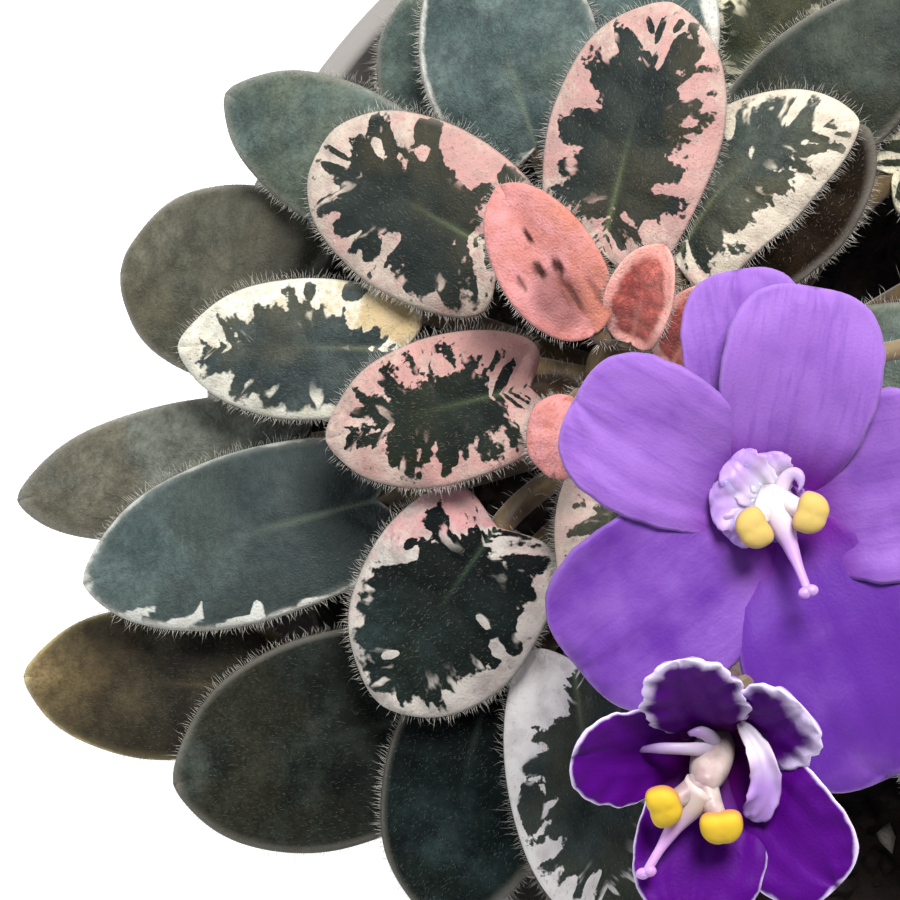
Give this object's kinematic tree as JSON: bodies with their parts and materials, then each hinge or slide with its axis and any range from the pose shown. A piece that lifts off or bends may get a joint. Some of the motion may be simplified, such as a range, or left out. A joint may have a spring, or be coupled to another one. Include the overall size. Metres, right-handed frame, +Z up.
{
  "type": "potted african violet",
  "caption": "Variegated african violet: a flat rosette of furry leaves and violet blooms in a round tapered pot.",
  "frame": {"origin": "centre of the pot's underside, on the surface that the pot stands on", "axes": "+Z up along the pot's axis, +Y towards the top of the view from above, +X to its right"},
  "size_m": [0.1329, 0.112, 0.1448],
  "materials": {
    "pot": "satin moulded",
    "soil": "rough crumbly",
    "stem": "rough",
    "leaf_green": "velvet with fine hairs",
    "leaf_variegated": "velvet with fine hairs",
    "leaf_young": "velvet with fine hairs",
    "stalk": "soft with fine hairs",
    "petal": "velvety",
    "column": "waxy",
    "anther": "powdery"
  },
  "bodies": {
    "root": {"bloom_1_anther_1": "anther", "bloom_1_anther_2": "anther", "bloom_1_column": "column", "bloom_1_corolla": "petal", "bloom_2_anther_1": "anther", "bloom_2_anther_2": "anther", "bloom_2_column": "column", "bloom_2_corolla": "petal", "bloom_3_anther_1": "anther", "bloom_3_anther_2": "anther", "bloom_3_column": "column", "bloom_3_corolla": "petal", "front_stalk": "stalk", "inner_leaf_1": "leaf_variegated", "inner_leaf_10": "leaf_variegated", "inner_leaf_11": "leaf_variegated", "inner_leaf_2": "leaf_variegated", "inner_leaf_3": "leaf_variegated", "inner_leaf_4": "leaf_variegated", "inner_leaf_5": "leaf_variegated", "inner_leaf_6": "leaf_variegated", "inner_leaf_7": "leaf_variegated", "inner_leaf_8": "leaf_variegated", "inner_leaf_9": "leaf_green", "middle_leaf_1": "leaf_green", "middle_leaf_10": "leaf_green", "middle_leaf_11": "leaf_green", "middle_leaf_12": "leaf_green", "middle_leaf_2": "leaf_green", "middle_leaf_3": "leaf_green", "middle_leaf_4": "leaf_green", "middle_leaf_5": "leaf_green", "middle_leaf_6": "leaf_green", "middle_leaf_7": "leaf_variegated", "middle_leaf_8": "leaf_green", "middle_leaf_9": "leaf_variegated", "outer_leaf_1": "leaf_green", "outer_leaf_2": "leaf_green", "outer_leaf_3": "leaf_green", "outer_leaf_4": "leaf_green", "outer_leaf_5": "leaf_green", "outer_leaf_6": "leaf_green", "outer_leaf_7": "leaf_green", "outer_leaf_8": "leaf_green", "pot": "pot", "side_stalk": "stalk", "soil": "soil", "stem": "stem", "young_leaf_1": "leaf_young", "young_leaf_2": "leaf_young", "young_leaf_3": "leaf_young", "young_leaf_4": "leaf_young"}
  },
  "joints": []
}
